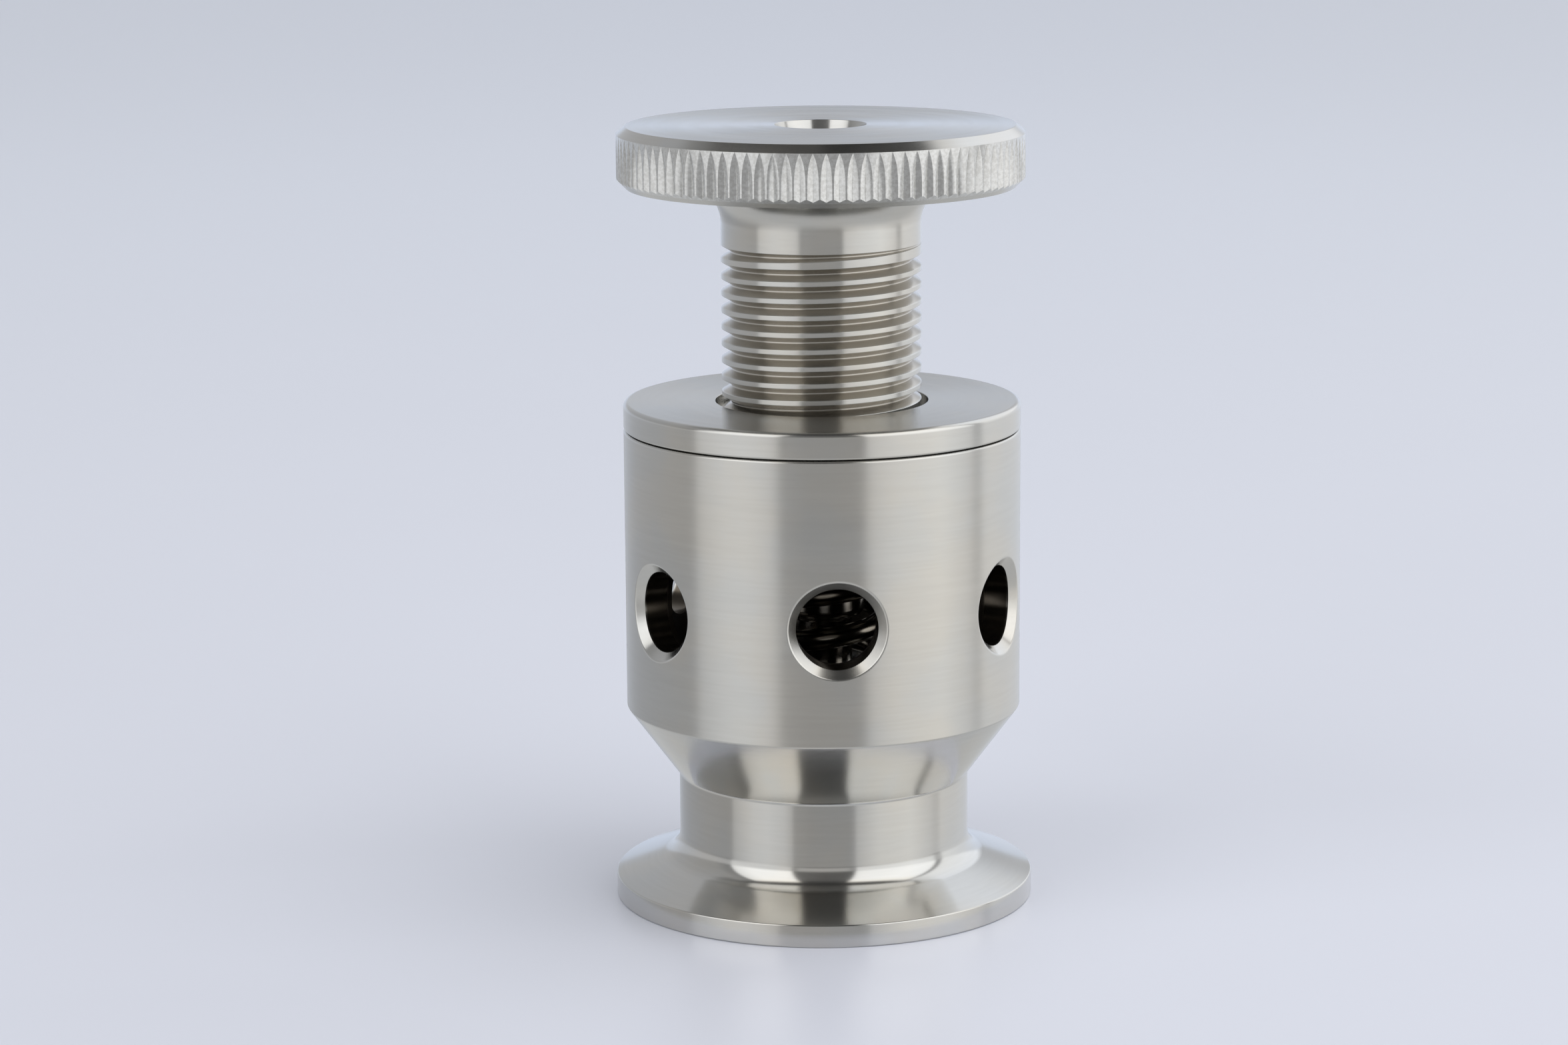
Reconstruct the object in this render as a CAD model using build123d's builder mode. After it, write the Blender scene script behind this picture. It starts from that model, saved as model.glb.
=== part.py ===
"""Sanitary adjustable pressure relief valve on a 1 1/2 inch clamp ferrule.

The valve stands on its ferrule.  The origin is the centre of the ferrule's sealing face,
+Z runs up the valve's axis to the handwheel, and one vent faces -Y.  Millimetres.

The inlet comes up through the ferrule to a seat in the body.  A spring holds the valve
disc down on that seat.  Enough pressure lifts the disc, and the flow leaves by the six
vents.  Turning the handwheel screws its hollow stem up or down in the cap, which changes
how far the spring is compressed.
"""

from build123d import *
from math import asin, atan2, cos, degrees, hypot, radians, sin, tan
import os

os.makedirs("parts", exist_ok=True)

# ---- Clamp ferrule ----------------------------------------------------------------
ferrule_radius = 25.25
ferrule_rim_height = 2.7
clamp_cone_angle = 20
gasket_groove_radius = 21.8
gasket_groove_arc = 2.0
gasket_groove_depth = 1.5

# ---- Body -------------------------------------------------------------------------
neck_radius = 17.5
neck_top = 15.15
body_radius = 23.75
shoulder_top = 23.6
body_top = 57.3
inlet_radius = 14.25
chamber_radius = 19.1
chamber_foot_radius = 17.3
chamber_floor = 19.0
chamber_cone_top = 22.5
seat_height = 20.0
seat_land = 1.15
seat_bevel = 0.6
seat_edge_radius = 0.15
chamber_floor_fillet = 0.4
ferrule_foot_fillet = 3.0
neck_edge_radius = 0.8
shoulder_edge_radius = 0.4
mouth_edge_radius = 0.3
edge_break = 0.2

vent_count = 6
vent_radius = 4.8
vent_chamfer = 1.0
vent_height = 37.4

# ---- Threads: a 60 degree profile, given by crest radius, pitch, depth and crest ---
flank_slope = tan(radians(30))
screw_thread = {"crest_radius": 11.92, "pitch": 2.0, "depth": 1.12, "crest_width": 0.54}
stem_thread = {"crest_radius": 3.0, "pitch": 1.0, "depth": 0.6, "crest_width": 0.2}
flank_gap = 0.08
crest_gap = 0.15
mouth_overlap = 0.25
bore_overlap = 0.05
cutter_overrun = 1.0

# ---- Cap --------------------------------------------------------------------------
cap_flange = 3.3
cap_spigot = 8.0
spigot_radius = 20.6
spigot_gap = 0.05
spigot_chamfer = 0.8
undercut_depth = 0.7
undercut_height = 1.5
cap_edge_radius = 0.6
cap_mouth_radius = 12.74
cap_minor_radius = 11.1

# ---- Handwheel and adjusting screw, one turned piece -------------------------------
screw_bottom = 47.5
screw_end_chamfer = 1.1
spring_bore_radius = 9.0
spring_bore_top = 77.5
spring_bore_chamfer = 0.4
thread_groove_start = 45.587
thread_groove_turns = 16.5
runout_height = 1.0
wheel_radius = 24.2
wheel_bottom = 86.25
wheel_top = 93.5
wheel_face_radius = 23.1
wheel_rim_bottom = 87.35
wheel_rim_top = 92.57
wheel_fillet = 4.2
guide_hole_radius = 5.13
guide_mouth_radius = 5.46
guide_mouth_depth = 1.2

knurl_count = 100
knurl_start_angle = 0.85
knurl_depth = 0.35
knurl_half_width = 0.7

# ---- Spring -----------------------------------------------------------------------
wire_radius = 1.3
coil_radius = 7.25
coil_pitch = 5.3
spring_bottom = 25.0
spring_top = 75.5
front_coil_height = 38.2
thrust_washer_gap = 0.3

# ---- Stem, disc and what holds the seal --------------------------------------------
guide_gap = 0.08
stem_top = 84.5
stem_shoulder = 34.3
stem_shoulder_radius = 1.2
stem_top_radius = 0.5
stem_end_chamfer = 0.6
waist_radius = 3.5
waist_fillet = 0.4
hub_radius = 5.6
hub_top = 29.0
disc_radius = 17.0
disc_bottom = 21.0
disc_edge_radius = 0.8
seal_top = 22.0
seal_outer_radius = 15.8
seal_inner_radius = 11.0
seal_gap = 0.05
retainer_radius = 12.8
retainer_bottom = 18.5
retainer_edge_radius = 0.4
lock_washer_thickness = 1.2
lock_washer_radius = 5.2
lock_washer_edge_radius = 0.15
lock_washer_split = 1.0
lock_washer_split_angle = 20
nut_height = 5.0
nut_across_flats = 10.0
nut_chamfer = 0.5
nut_thread_depth = 0.45
stem_bottom = 10.8
bolt_gap = 0.05


def radial_plane(angle, height=0.0):
    """The plane that holds the axis at this angle, with its X pointing outwards."""
    outwards = (cos(radians(angle)), sin(radians(angle)), 0)
    sideways = (sin(radians(angle)), -cos(radians(angle)), 0)
    return Plane(origin=(0, 0, height), x_dir=outwards, z_dir=sideways)


def wind_groove(profile, pitch, start, angle, turns, flare=0.0):
    """A cutter that winds a groove profile up a right-hand helix from this height."""
    middle_radius = (profile[0][0] + profile[1][0]) / 2
    with BuildPart() as cutter:
        with BuildLine(Plane.XY.offset(start).rotated((0, 0, angle))) as path:
            Helix(pitch, pitch * turns, middle_radius, cone_angle=flare)
        with BuildSketch(radial_plane(angle, start)):
            with BuildLine():
                Polyline(*profile, close=True)
            make_face()
        sweep(path=path.line, is_frenet=True)
    return cutter.part


def groove_profile(inner_radius, inner_half_width, outer_radius, outer_half_width):
    """Cross-section of a thread groove in the plane of the axis, centred on height 0."""
    return [
        (inner_radius, -inner_half_width),
        (outer_radius, -outer_half_width),
        (outer_radius, outer_half_width),
        (inner_radius, inner_half_width),
    ]


def outside_groove(thread):
    """The groove between the teeth of an outside thread, carried on past its crests."""
    crest_half_width = (thread["pitch"] - thread["crest_width"]) / 2
    root_half_width = crest_half_width - thread["depth"] * flank_slope
    mouth_half_width = crest_half_width + mouth_overlap * flank_slope
    root_radius = thread["crest_radius"] - thread["depth"]
    mouth_radius = thread["crest_radius"] + mouth_overlap
    return groove_profile(root_radius, root_half_width, mouth_radius, mouth_half_width)


def inside_groove(thread, minor_radius):
    """The groove in a nut that a tooth of the outside thread turns in with clearance."""
    crest_half_width = thread["crest_width"] / 2 + flank_gap
    root_radius = thread["crest_radius"] + crest_gap
    root_half_width = crest_half_width - crest_gap * flank_slope
    mouth_radius = minor_radius - bore_overlap
    mouth_half_width = crest_half_width + (thread["crest_radius"] - mouth_radius) * flank_slope
    return groove_profile(mouth_radius, mouth_half_width, root_radius, root_half_width)


def turn(outline, mode=Mode.ADD):
    """Revolve a closed outline about the axis; outline maps each corner to its radius."""
    with BuildSketch(Plane.XZ) as section:
        with BuildLine():
            FilletPolyline(*outline.keys(), radius=list(outline.values()), close=True)
        make_face()
    revolve(section.sketch, axis=Axis.Z, mode=mode)


def make_body():
    """One turned piece: ferrule, neck, cone and the vented chamber with its seat."""
    ferrule_rise = (ferrule_radius - neck_radius) * tan(radians(clamp_cone_angle))
    mouth_radius = spigot_radius + spigot_gap
    mouth_bottom = body_top - cap_spigot - edge_break
    seat_outer_radius = inlet_radius + seat_land
    vent_angles = [-90 + 360 / vent_count * i for i in range(vent_count)]
    vent_planes = [radial_plane(angle, vent_height) for angle in vent_angles]
    middle_of_wall = (chamber_radius + body_radius) / 2

    with BuildPart() as body:
        turn(
            {
                (0, 0): 0,
                (ferrule_radius, 0): edge_break,
                (ferrule_radius, ferrule_rim_height): edge_break,
                (neck_radius, ferrule_rim_height + ferrule_rise): ferrule_foot_fillet,
                (neck_radius, neck_top): neck_edge_radius,
                (body_radius, shoulder_top): shoulder_edge_radius,
                (body_radius, body_top): mouth_edge_radius,
                (0, body_top): 0,
            }
        )
        turn(
            {
                (0, -cutter_overrun): 0,
                (inlet_radius, -cutter_overrun): 0,
                (inlet_radius, seat_height): seat_edge_radius,
                (seat_outer_radius, seat_height): seat_edge_radius,
                (seat_outer_radius + seat_bevel, chamber_floor): seat_edge_radius,
                (chamber_foot_radius, chamber_floor): chamber_floor_fillet,
                (chamber_radius, chamber_cone_top): 0,
                (chamber_radius, mouth_bottom): 0,
                (mouth_radius, mouth_bottom): 0,
                (mouth_radius, body_top - spigot_chamfer): 0,
                (mouth_radius + spigot_chamfer + cutter_overrun, body_top + cutter_overrun): 0,
                (0, body_top + cutter_overrun): 0,
            },
            mode=Mode.SUBTRACT,
        )
        with BuildSketch(Plane.XZ) as groove:
            with Locations((gasket_groove_radius, gasket_groove_depth - gasket_groove_arc)):
                Circle(gasket_groove_arc)
        revolve(groove.sketch, axis=Axis.Z, mode=Mode.SUBTRACT)
        for plane in vent_planes:
            with BuildSketch(Plane(plane.origin, plane.z_dir, plane.x_dir)) as vent:
                Circle(vent_radius)
            extrude(vent.sketch, amount=body_radius + cutter_overrun, mode=Mode.SUBTRACT)
        lowest = vent_height - vent_radius - edge_break
        highest = vent_height + vent_radius + edge_break
        vent_edges = body.edges().filter_by_position(Axis.Z, lowest, highest)
        vent_mouths = [
            edge
            for edge in vent_edges
            if hypot(edge.position_at(0).X, edge.position_at(0).Y) > middle_of_wall
        ]
        chamfer(vent_mouths, vent_chamfer)
    body.part.label = "body"
    export_step(body.part, "parts/body.step")


def make_cap():
    """The cap closes the top of the body and carries the adjusting screw's thread."""
    spigot_bottom = body_top - cap_spigot
    cap_top = body_top + cap_flange
    thread_groove = wind_groove(
        inside_groove(screw_thread, cap_minor_radius),
        screw_thread["pitch"],
        thread_groove_start + screw_thread["pitch"] / 2,
        0,
        thread_groove_turns - 0.5,
    )
    with BuildPart() as cap:
        turn(
            {
                (0, spigot_bottom): 0,
                (spigot_radius - spigot_chamfer, spigot_bottom): 0,
                (spigot_radius, spigot_bottom + spigot_chamfer): 0,
                (spigot_radius, body_top - undercut_height): 0,
                (spigot_radius - undercut_depth, body_top - undercut_height): 0,
                (spigot_radius - undercut_depth, body_top): 0,
                (body_radius, body_top): mouth_edge_radius,
                (body_radius, cap_top): cap_edge_radius,
                (0, cap_top): 0,
            }
        )
        add(thread_groove, mode=Mode.SUBTRACT)
        turn(
            {
                (0, spigot_bottom - cutter_overrun): 0,
                (cap_minor_radius + 2 * cutter_overrun, spigot_bottom - cutter_overrun): 0,
                (cap_minor_radius, spigot_bottom + cutter_overrun): 0,
                (cap_minor_radius, cap_top + cap_minor_radius - cap_mouth_radius): 0,
                (cap_mouth_radius + cutter_overrun, cap_top + cutter_overrun): 0,
                (0, cap_top + cutter_overrun): 0,
            },
            mode=Mode.SUBTRACT,
        )
    cap.part.label = "cap"
    export_step(cap.part, "parts/cap.step")


def make_knurl_cutter():
    """A V cutter whose floor curves out to nothing at the top edge of the wheel's rim."""
    height = wheel_rim_top - wheel_rim_bottom
    sweep_radius = (height**2 + knurl_depth**2) / (2 * knurl_depth)
    floor_radius = wheel_radius - knurl_depth
    mouth_radius = wheel_radius + knurl_depth
    pivot = Axis((floor_radius + sweep_radius, 0, wheel_rim_bottom), (0, 1, 0))
    with BuildPart() as cutter:
        with BuildSketch(Plane.XY.offset(wheel_rim_bottom)) as profile:
            with BuildLine():
                Polyline(
                    (floor_radius, 0),
                    (mouth_radius, -2 * knurl_half_width),
                    (mouth_radius, 2 * knurl_half_width),
                    close=True,
                )
            make_face()
        revolve(profile.sketch, axis=pivot, revolution_arc=degrees(asin(height / sweep_radius)))
        extrude(profile.sketch, amount=wheel_bottom - wheel_rim_bottom - cutter_overrun)
    return cutter.part


def make_adjusting_screw():
    """Knurled handwheel and hollow threaded stem, turned from one bar."""
    crest_radius = screw_thread["crest_radius"]
    pitch = screw_thread["pitch"]
    groove = outside_groove(screw_thread)
    flare = degrees(atan2(screw_thread["depth"] + mouth_overlap, runout_height))
    runout_start = thread_groove_start + pitch * thread_groove_turns
    main_groove = wind_groove(groove, pitch, thread_groove_start, 0, thread_groove_turns)
    runout_angle = 360 * (thread_groove_turns % 1)
    runout = wind_groove(groove, pitch, runout_start, runout_angle, runout_height / pitch, flare)
    knurl_cutter = make_knurl_cutter()
    with BuildPart() as screw:
        turn(
            {
                (spring_bore_radius + spring_bore_chamfer, screw_bottom): 0,
                (crest_radius - screw_end_chamfer, screw_bottom): 0,
                (crest_radius, screw_bottom + screw_end_chamfer): 0,
                (crest_radius, wheel_bottom): wheel_fillet,
                (wheel_face_radius, wheel_bottom): edge_break,
                (wheel_radius, wheel_rim_bottom): 0,
                (wheel_radius, wheel_rim_top): 0,
                (wheel_face_radius, wheel_top): 0,
                (guide_mouth_radius, wheel_top): 0,
                (guide_hole_radius, wheel_top - guide_mouth_depth): 0,
                (guide_hole_radius, spring_bore_top): 0,
                (spring_bore_radius, spring_bore_top): 0,
                (spring_bore_radius, screw_bottom + spring_bore_chamfer): 0,
            }
        )
        add(main_groove, mode=Mode.SUBTRACT)
        add(runout, mode=Mode.SUBTRACT)
        with PolarLocations(0, knurl_count, start_angle=knurl_start_angle):
            add(knurl_cutter, mode=Mode.SUBTRACT)
    screw.part.label = "adjusting_screw"
    export_step(screw.part, "parts/adjusting_screw.step")


def make_thrust_washer():
    """The washer between the top of the spring and the turning screw."""
    with BuildPart() as thrust_washer:
        turn(
            {
                (guide_hole_radius + thrust_washer_gap, spring_top): edge_break,
                (spring_bore_radius - thrust_washer_gap, spring_top): edge_break,
                (spring_bore_radius - thrust_washer_gap, spring_bore_top): edge_break,
                (guide_hole_radius + thrust_washer_gap, spring_bore_top): edge_break,
            }
        )
    thrust_washer.part.label = "thrust_washer"
    export_step(thrust_washer.part, "parts/thrust_washer.step")


def make_spring():
    """Right-hand compression spring, ground flat at both ends."""
    start = spring_bottom - wire_radius / 2
    height = spring_top - spring_bottom + wire_radius
    start_angle = -90 - 360 * (front_coil_height - start) / coil_pitch
    ground_size = (4 * coil_radius, 4 * coil_radius, spring_top - spring_bottom)
    with BuildPart() as spring:
        with BuildLine(Plane.XY.offset(start).rotated((0, 0, start_angle))) as path:
            Helix(coil_pitch, height, coil_radius)
        with BuildSketch(radial_plane(start_angle, start)) as wire_section:
            with Locations((coil_radius, 0)):
                Circle(wire_radius)
        sweep(wire_section.sketch, path=path.line, is_frenet=True)
        with Locations((0, 0, spring_bottom)):
            stand = (Align.CENTER, Align.CENTER, Align.MIN)
            Box(*ground_size, align=stand, mode=Mode.INTERSECT)
    spring.part.label = "spring"
    export_step(spring.part, "parts/spring.step")


def make_stem():
    """Guide rod that slides in the handwheel, with a waist and an M6 end below it."""
    guide_radius = guide_hole_radius - guide_gap
    bolt_radius = stem_thread["crest_radius"]
    groove = wind_groove(
        outside_groove(stem_thread),
        stem_thread["pitch"],
        stem_bottom - stem_thread["pitch"],
        0,
        (seat_height - stem_bottom) / stem_thread["pitch"],
    )
    with BuildPart() as stem:
        turn(
            {
                (0, stem_bottom): 0,
                (bolt_radius - stem_end_chamfer, stem_bottom): 0,
                (bolt_radius, stem_bottom + stem_end_chamfer): 0,
                (bolt_radius, hub_top): 0,
                (waist_radius, hub_top): 0,
                (waist_radius, stem_shoulder): waist_fillet,
                (guide_radius, stem_shoulder): stem_shoulder_radius,
                (guide_radius, stem_top): stem_top_radius,
                (0, stem_top): 0,
            }
        )
        add(groove, mode=Mode.SUBTRACT)
    stem.part.label = "stem"
    export_step(stem.part, "parts/stem.step")


def make_valve_disc():
    """The disc that carries the seal, with a hub that centres the spring."""
    bolt_hole_radius = stem_thread["crest_radius"] + bolt_gap
    recess_radius = seal_outer_radius + seal_gap
    with BuildPart() as valve_disc:
        turn(
            {
                (bolt_hole_radius, seal_top): 0,
                (recess_radius, seal_top): 0,
                (recess_radius, disc_bottom): 0,
                (disc_radius, disc_bottom): edge_break,
                (disc_radius, spring_bottom): disc_edge_radius,
                (hub_radius, spring_bottom): 0,
                (hub_radius, hub_top): disc_edge_radius,
                (bolt_hole_radius, hub_top): 0,
            }
        )
    valve_disc.part.label = "valve_disc"
    export_step(valve_disc.part, "parts/valve_disc.step")


def make_seal_ring():
    """Flat soft ring that closes on the seat's narrow land."""
    with BuildPart() as seal_ring:
        turn(
            {
                (seal_inner_radius, seat_height): 0,
                (seal_outer_radius, seat_height): edge_break,
                (seal_outer_radius, seal_top): 0,
                (seal_inner_radius, seal_top): 0,
            }
        )
    seal_ring.part.label = "seal_ring"
    export_step(seal_ring.part, "parts/seal_ring.step")


def make_seal_retainer():
    """Flanged washer that centres the seal ring and clamps it against the disc."""
    bolt_hole_radius = stem_thread["crest_radius"] + bolt_gap
    with BuildPart() as seal_retainer:
        turn(
            {
                (bolt_hole_radius, retainer_bottom): 0,
                (retainer_radius, retainer_bottom): retainer_edge_radius,
                (retainer_radius, seat_height): edge_break,
                (seal_inner_radius - seal_gap, seat_height): 0,
                (seal_inner_radius - seal_gap, seal_top): 0,
                (bolt_hole_radius, seal_top): 0,
            }
        )
    seal_retainer.part.label = "seal_retainer"
    export_step(seal_retainer.part, "parts/seal_retainer.step")


def make_lock_washer():
    """Split spring washer between the seal retainer and the nut."""
    inner_radius = stem_thread["crest_radius"] + 2 * bolt_gap
    washer_bottom = retainer_bottom - lock_washer_thickness
    middle_radius = (inner_radius + lock_washer_radius) / 2
    split_size = (lock_washer_radius, lock_washer_split, 4 * lock_washer_thickness)
    with BuildPart() as lock_washer:
        turn(
            {
                (inner_radius, washer_bottom): 0,
                (lock_washer_radius, washer_bottom): lock_washer_edge_radius,
                (lock_washer_radius, retainer_bottom): lock_washer_edge_radius,
                (inner_radius, retainer_bottom): 0,
            }
        )
        with Locations((middle_radius, 0, retainer_bottom)):
            Box(*split_size, rotation=(lock_washer_split_angle, 0, 0), mode=Mode.SUBTRACT)
    lock_washer.part.label = "lock_washer"
    export_step(lock_washer.part, "parts/lock_washer.step")


def make_retaining_nut():
    """M6 hexagon nut, its corners chamfered at both ends."""
    nut_top = retainer_bottom - lock_washer_thickness
    nut_bottom = nut_top - nut_height
    corner_radius = nut_across_flats / 2 / cos(radians(30))
    minor_radius = stem_thread["crest_radius"] - nut_thread_depth
    groove = wind_groove(
        inside_groove(stem_thread, minor_radius),
        stem_thread["pitch"],
        stem_bottom - stem_thread["pitch"] / 2,
        0,
        (nut_top + 2 * cutter_overrun - stem_bottom) / stem_thread["pitch"],
    )
    with BuildPart() as retaining_nut:
        with BuildSketch(Plane.XY.offset(nut_bottom)) as hexagon:
            RegularPolygon(corner_radius, 6)
        extrude(hexagon.sketch, amount=nut_height)
        turn(
            {
                (0, nut_bottom): 0,
                (nut_across_flats / 2, nut_bottom): 0,
                (corner_radius, nut_bottom + nut_chamfer): 0,
                (corner_radius, nut_top - nut_chamfer): 0,
                (nut_across_flats / 2, nut_top): 0,
                (0, nut_top): 0,
            },
            mode=Mode.INTERSECT,
        )
        add(groove, mode=Mode.SUBTRACT)
        with Locations((0, 0, nut_top)):
            Hole(minor_radius, nut_height)
    retaining_nut.part.label = "retaining_nut"
    export_step(retaining_nut.part, "parts/retaining_nut.step")


make_body()
make_cap()
make_adjusting_screw()
make_thrust_washer()
make_spring()
make_stem()
make_valve_disc()
make_seal_ring()
make_seal_retainer()
make_lock_washer()
make_retaining_nut()
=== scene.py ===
"""Looks for the relief valve: exact turned surfaces, a cut thread, a knurl and a wound spring.

Shapes are worked out in millimetres in the shared frame (+Z up, origin at the centre of the
ferrule's face) and become metres when a mesh is made. Shader distances are in metres.
"""

from math import atan2, ceil, cos, pi, radians, sin, sqrt, tan

import bpy
import numpy as np
from mathutils import Matrix, Vector


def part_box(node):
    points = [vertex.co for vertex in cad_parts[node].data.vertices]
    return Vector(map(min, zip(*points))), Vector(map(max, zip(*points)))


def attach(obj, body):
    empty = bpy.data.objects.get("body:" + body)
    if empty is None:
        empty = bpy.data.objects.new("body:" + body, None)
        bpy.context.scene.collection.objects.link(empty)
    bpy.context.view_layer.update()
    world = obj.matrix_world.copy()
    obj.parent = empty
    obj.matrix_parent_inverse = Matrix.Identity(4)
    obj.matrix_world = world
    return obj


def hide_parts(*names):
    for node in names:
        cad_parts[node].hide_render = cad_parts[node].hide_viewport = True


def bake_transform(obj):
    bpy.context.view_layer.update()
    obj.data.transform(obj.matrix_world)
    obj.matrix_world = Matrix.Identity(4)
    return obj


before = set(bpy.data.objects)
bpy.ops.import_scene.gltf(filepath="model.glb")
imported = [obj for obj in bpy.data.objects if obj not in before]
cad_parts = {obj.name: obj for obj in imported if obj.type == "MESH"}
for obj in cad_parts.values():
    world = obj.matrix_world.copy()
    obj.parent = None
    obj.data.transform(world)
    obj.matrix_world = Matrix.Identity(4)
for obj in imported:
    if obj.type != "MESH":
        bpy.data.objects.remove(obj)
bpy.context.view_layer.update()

MM = 0.001
COLUMNS = 192  # faces round a turned surface

# ---- Sizes, in millimetres and degrees ---------------------------------------------------
ferrule_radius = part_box("body")[1].x / MM
body_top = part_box("body")[1].z / MM
cap_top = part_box("cap")[1].z / MM
cap_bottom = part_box("cap")[0].z / MM
body_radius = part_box("cap")[1].x / MM
wheel_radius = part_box("adjusting_screw")[1].x / MM
wheel_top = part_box("adjusting_screw")[1].z / MM
screw_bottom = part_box("adjusting_screw")[0].z / MM
spring_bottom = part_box("spring")[0].z / MM
spring_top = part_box("spring")[1].z / MM
stem_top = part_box("stem")[1].z / MM
stem_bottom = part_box("stem")[0].z / MM

# edges that several pieces share
edge_break = 0.2
fine_edge = 0.1
inner_edge_radius = 0.3
near_axis = 0.0001  # keeps the faces at the axis from collapsing

# the clamp ferrule, with the groove for the gasket's bead in its face
ferrule_rim_height = 2.7
clamp_cone_angle = 20
gasket_groove_radius = 21.8
gasket_groove_depth = 1.45
gasket_groove_half_width = 1.9
gasket_groove_floor = 0.9
groove_edge = 0.15

# the outside of the body, and the mouth that takes the cap
neck_radius = 17.5
neck_top = 15.15
ferrule_foot_fillet = 3.0
neck_edge_radius = 0.8
shoulder_top = 23.6
shoulder_edge_radius = 0.4
body_edge_radius = 0.3
mouth_radius = 20.65
mouth_floor = 49.1
mouth_bevel = 0.8

# the inside of the body
inlet_radius = 14.25
seat_height = 20.0
seat_land = 1.15
seat_bevel = 0.6
seat_edge = 0.15
chamber_radius = 19.1
chamber_floor = 19.0
chamber_foot_radius = 17.3
chamber_foot_fillet = 0.4
chamber_cone_top = 22.5

# the vents
vent_count = 6
vent_height = 37.4
vent_radius = 4.8
vent_chamfer = 1.0
vent_edge = 0.18
vent_zone = (30.9, 43.9)  # the heights between which the wall is made in sectors

# the cap, whose spigot stands in the body's mouth
cap_gap = 0.13
cap_edge_radius = 0.6
cap_joint_edge = 0.25
cap_mouth_edge = 0.08
spigot_radius = 20.6
spigot_chamfer = 0.8
undercut_radius = 19.9
undercut_height = 1.5
cap_mouth_radius = 12.74
cap_mouth_foot_radius = 12.6
cap_mouth_depth = 2.2
cap_bore_radius = 12.06
cap_bore_depth = 2.8
cap_bore_chamfer = 0.14

# the screw's thread, and the plain rings above and below it
thread_crest_radius = 11.92
thread_depth = 1.12
thread_crest_width = 0.54
thread_pitch = 2.0
thread_edge_radius = 0.06
thread_groove_start = 45.587
thread_groove_turns = 16.5
thread_top_fade = 0.5  # turns over which the groove runs out
thread_bottom_fade = 0.25
thread_ring_top = 81.0
thread_ring_bottom = 48.7
thread_ring_room = 1.6  # the groove stays this far above the lower ring
flank_slope = tan(radians(30))

# the handwheel, and the bores down through the screw
wheel_bottom = 86.25
wheel_face_radius = 23.1
wheel_fillet = 4.2
wheel_edge_radius = 0.12
rim_bottom = 87.35
rim_top = 92.57
guide_hole_radius = 5.13
guide_mouth_radius = 5.46
guide_mouth_depth = 1.2
guide_mouth_edge = 0.06
spring_bore_radius = 9.0
spring_bore_top = 77.5
spring_bore_chamfer = 0.4
screw_end_chamfer = 1.1

# the knurl, whose grooves are deepest at the bottom of the rim
knurl_count = 100
knurl_depth = 0.38
knurl_half_width = 0.72
knurl_hollow = 1.2  # how hollow a flank is: 1 would be flat
knurl_start = radians(0.85)
knurl_pitch_angle = 2 * pi / knurl_count

# the spring, which is split where its two halves meet
coil_radius = 7.25
wire_radius = 1.3
coil_pitch = 5.3
front_coil_height = 38.2
spring_split = 35.5
coil_overrun = 0.65  # the centre line runs this far past the ground ends

# the stem
stem_radius = 5.05
stem_shoulder = 34.3
stem_shoulder_fillet = 1.2
stem_end_radius = 0.5
waist_radius = 3.5
waist_fillet = 0.4
stem_thread_radius = 3.0
stem_thread_top = 29.0
stem_chamfer = 0.6

# the floor, and the camera's place in the frame that camera_swing turns round the axis
floor_split_radius = 30
floor_radius = 4000
camera_distance = 479.7
camera_height = 141.1
camera_across = -4.62
camera_tilt = 11.264
camera_roll = -0.38
camera_swing = -3.7
camera_lens = 93.3444
camera_sensor = 36


# ---- Meshes with exact normals -----------------------------------------------------------
def diagonal_products(points, quads):
    """The cross product of each quad's diagonals, at right angles to the quad."""
    corners = points[quads]
    return np.cross(corners[:, 2] - corners[:, 0], corners[:, 3] - corners[:, 1])


class Surface:
    """A mesh gathered from grids of points, each grid with its own exact normals."""

    def __init__(self):
        self.points = []
        self.normals = []
        self.faces = []
        self.count = 0

    def add_grid(self, points, normals):
        """Adds a (rows, columns, 3) grid of points with their normals."""
        rows, columns = points.shape[:2]
        corner = np.arange(rows * columns).reshape(rows, columns)
        quads = np.stack(
            [corner[:-1, :-1], corner[:-1, 1:], corner[1:, 1:], corner[1:, :-1]], axis=-1
        ).reshape(-1, 4)
        flat = points.reshape(-1, 3)
        facing = normals.reshape(-1, 3)
        quads = quads[np.linalg.norm(diagonal_products(flat, quads), axis=1) > 1e-7]
        self.points.append(flat)
        self.normals.append(facing / np.linalg.norm(facing, axis=1, keepdims=True))
        self.faces.append(quads + self.count)
        self.count += len(flat)

    def turn_faces(self):
        """Turns each face so that its winding agrees with its normals."""
        points = np.concatenate(self.points)
        normals = np.concatenate(self.normals)
        quads = np.concatenate(self.faces)
        wanted = normals[quads].sum(axis=1)
        backwards = (diagonal_products(points, quads) * wanted).sum(axis=1) < 0
        quads[backwards] = quads[backwards][:, ::-1]
        return points, normals, quads

    def make(self, name, material):
        """Makes the Blender object, in metres."""
        points, normals, quads = self.turn_faces()
        mesh = bpy.data.meshes.new(name)
        mesh.from_pydata((points * MM).tolist(), [], quads.tolist())
        mesh.polygons.foreach_set("use_smooth", [True] * len(mesh.polygons))
        mesh.normals_split_custom_set_from_vertices(normals.tolist())
        mesh.materials.append(material)
        made = bpy.data.objects.new(name, mesh)
        bpy.context.scene.collection.objects.link(made)
        return made


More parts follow.
